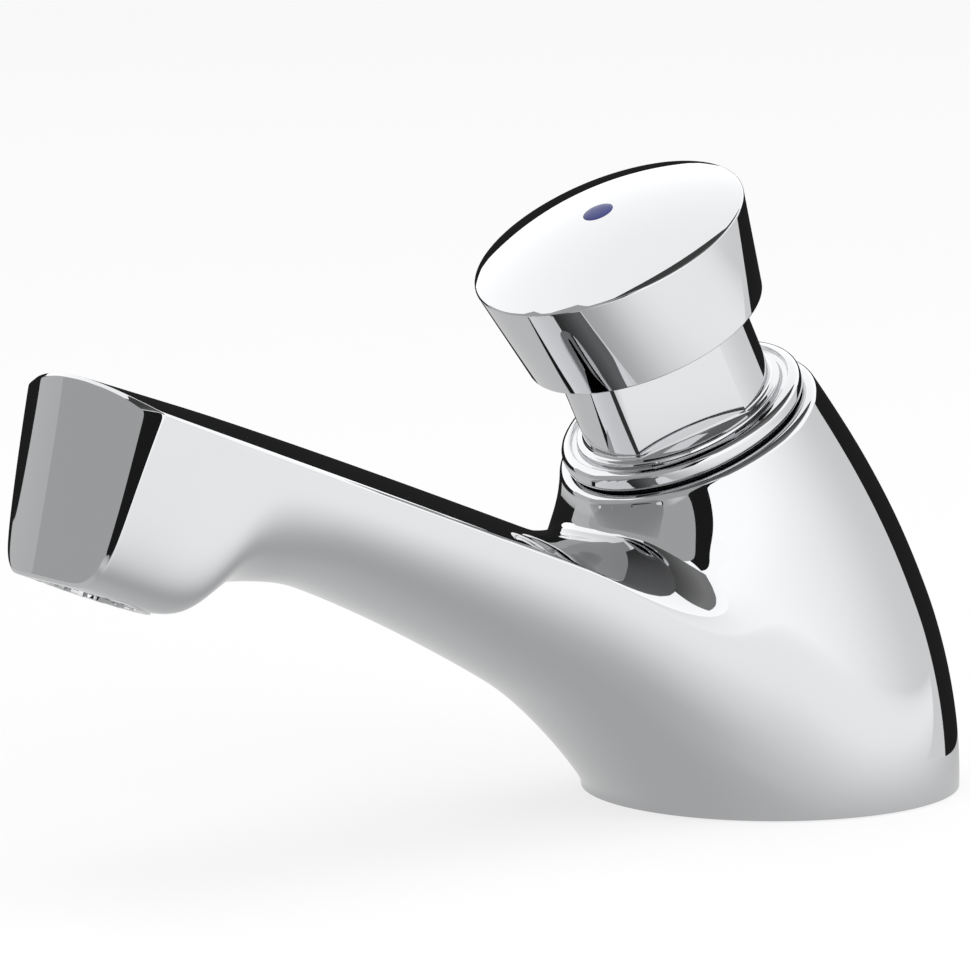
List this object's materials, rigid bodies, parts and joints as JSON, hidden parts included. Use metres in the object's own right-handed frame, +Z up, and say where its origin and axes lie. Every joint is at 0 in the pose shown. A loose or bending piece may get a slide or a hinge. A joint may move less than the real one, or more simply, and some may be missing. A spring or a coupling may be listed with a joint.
{
  "type": "push timed basin tap",
  "caption": "Self-closing basin tap: a cast spout body with a leaning push button, sprung timing valve, aerator and threaded tail with backnut fixing.",
  "frame": {"origin": "centre of the foot on the basin surface", "axes": "+Z up from the basin, -Y along the spout, X across it; the button axis leans towards -Y in the YZ plane"},
  "size_m": [0.054, 0.155, 0.1381],
  "materials": {
    "chrome_body": "polished plating",
    "chrome_button": "polished plating",
    "brass": "machined",
    "steel": "satin stainless",
    "rubber": "matt",
    "acetal": "moulded",
    "jet_plastic": "moulded",
    "index_blue": "gloss"
  },
  "bodies": {
    "tap_body": {"body_casting": "chrome_body", "bonnet": "chrome_body", "bonnet_o_ring": "rubber", "gland_o_ring": "rubber", "timing_sleeve": "acetal", "sleeve_o_ring": "rubber", "seat_ring": "brass", "seat_gasket": "rubber", "inlet_shank": "brass", "shank_o_ring": "rubber", "inlet_filter": "steel", "base_gasket": "rubber", "basin_washer": "rubber", "clamp_washer": "steel", "backnut": "brass", "aerator_housing": "chrome_body", "aerator_seal": "rubber", "jet_insert": "jet_plastic", "aerator_screen": "steel", "return_spring": "steel"},
    "push_unit": {"button_cap": "chrome_button", "index_disc": "index_blue", "push_rod": "steel", "cap_lock_nut": "steel", "timing_piston": "acetal", "piston_lip_seal": "rubber", "rod_circlip": "steel", "valve_plate": "brass", "valve_washer": "rubber"}
  },
  "joints": [
    {"name": "push_button", "type": "slide", "parent": "tap_body", "child": "push_unit", "axis": [0, 0.4493, -0.8934], "range_m": [0, 0.007], "stiffness_N_per_m": 1000, "springref_m": -0.01, "deforming": ["return_spring"]}
  ]
}
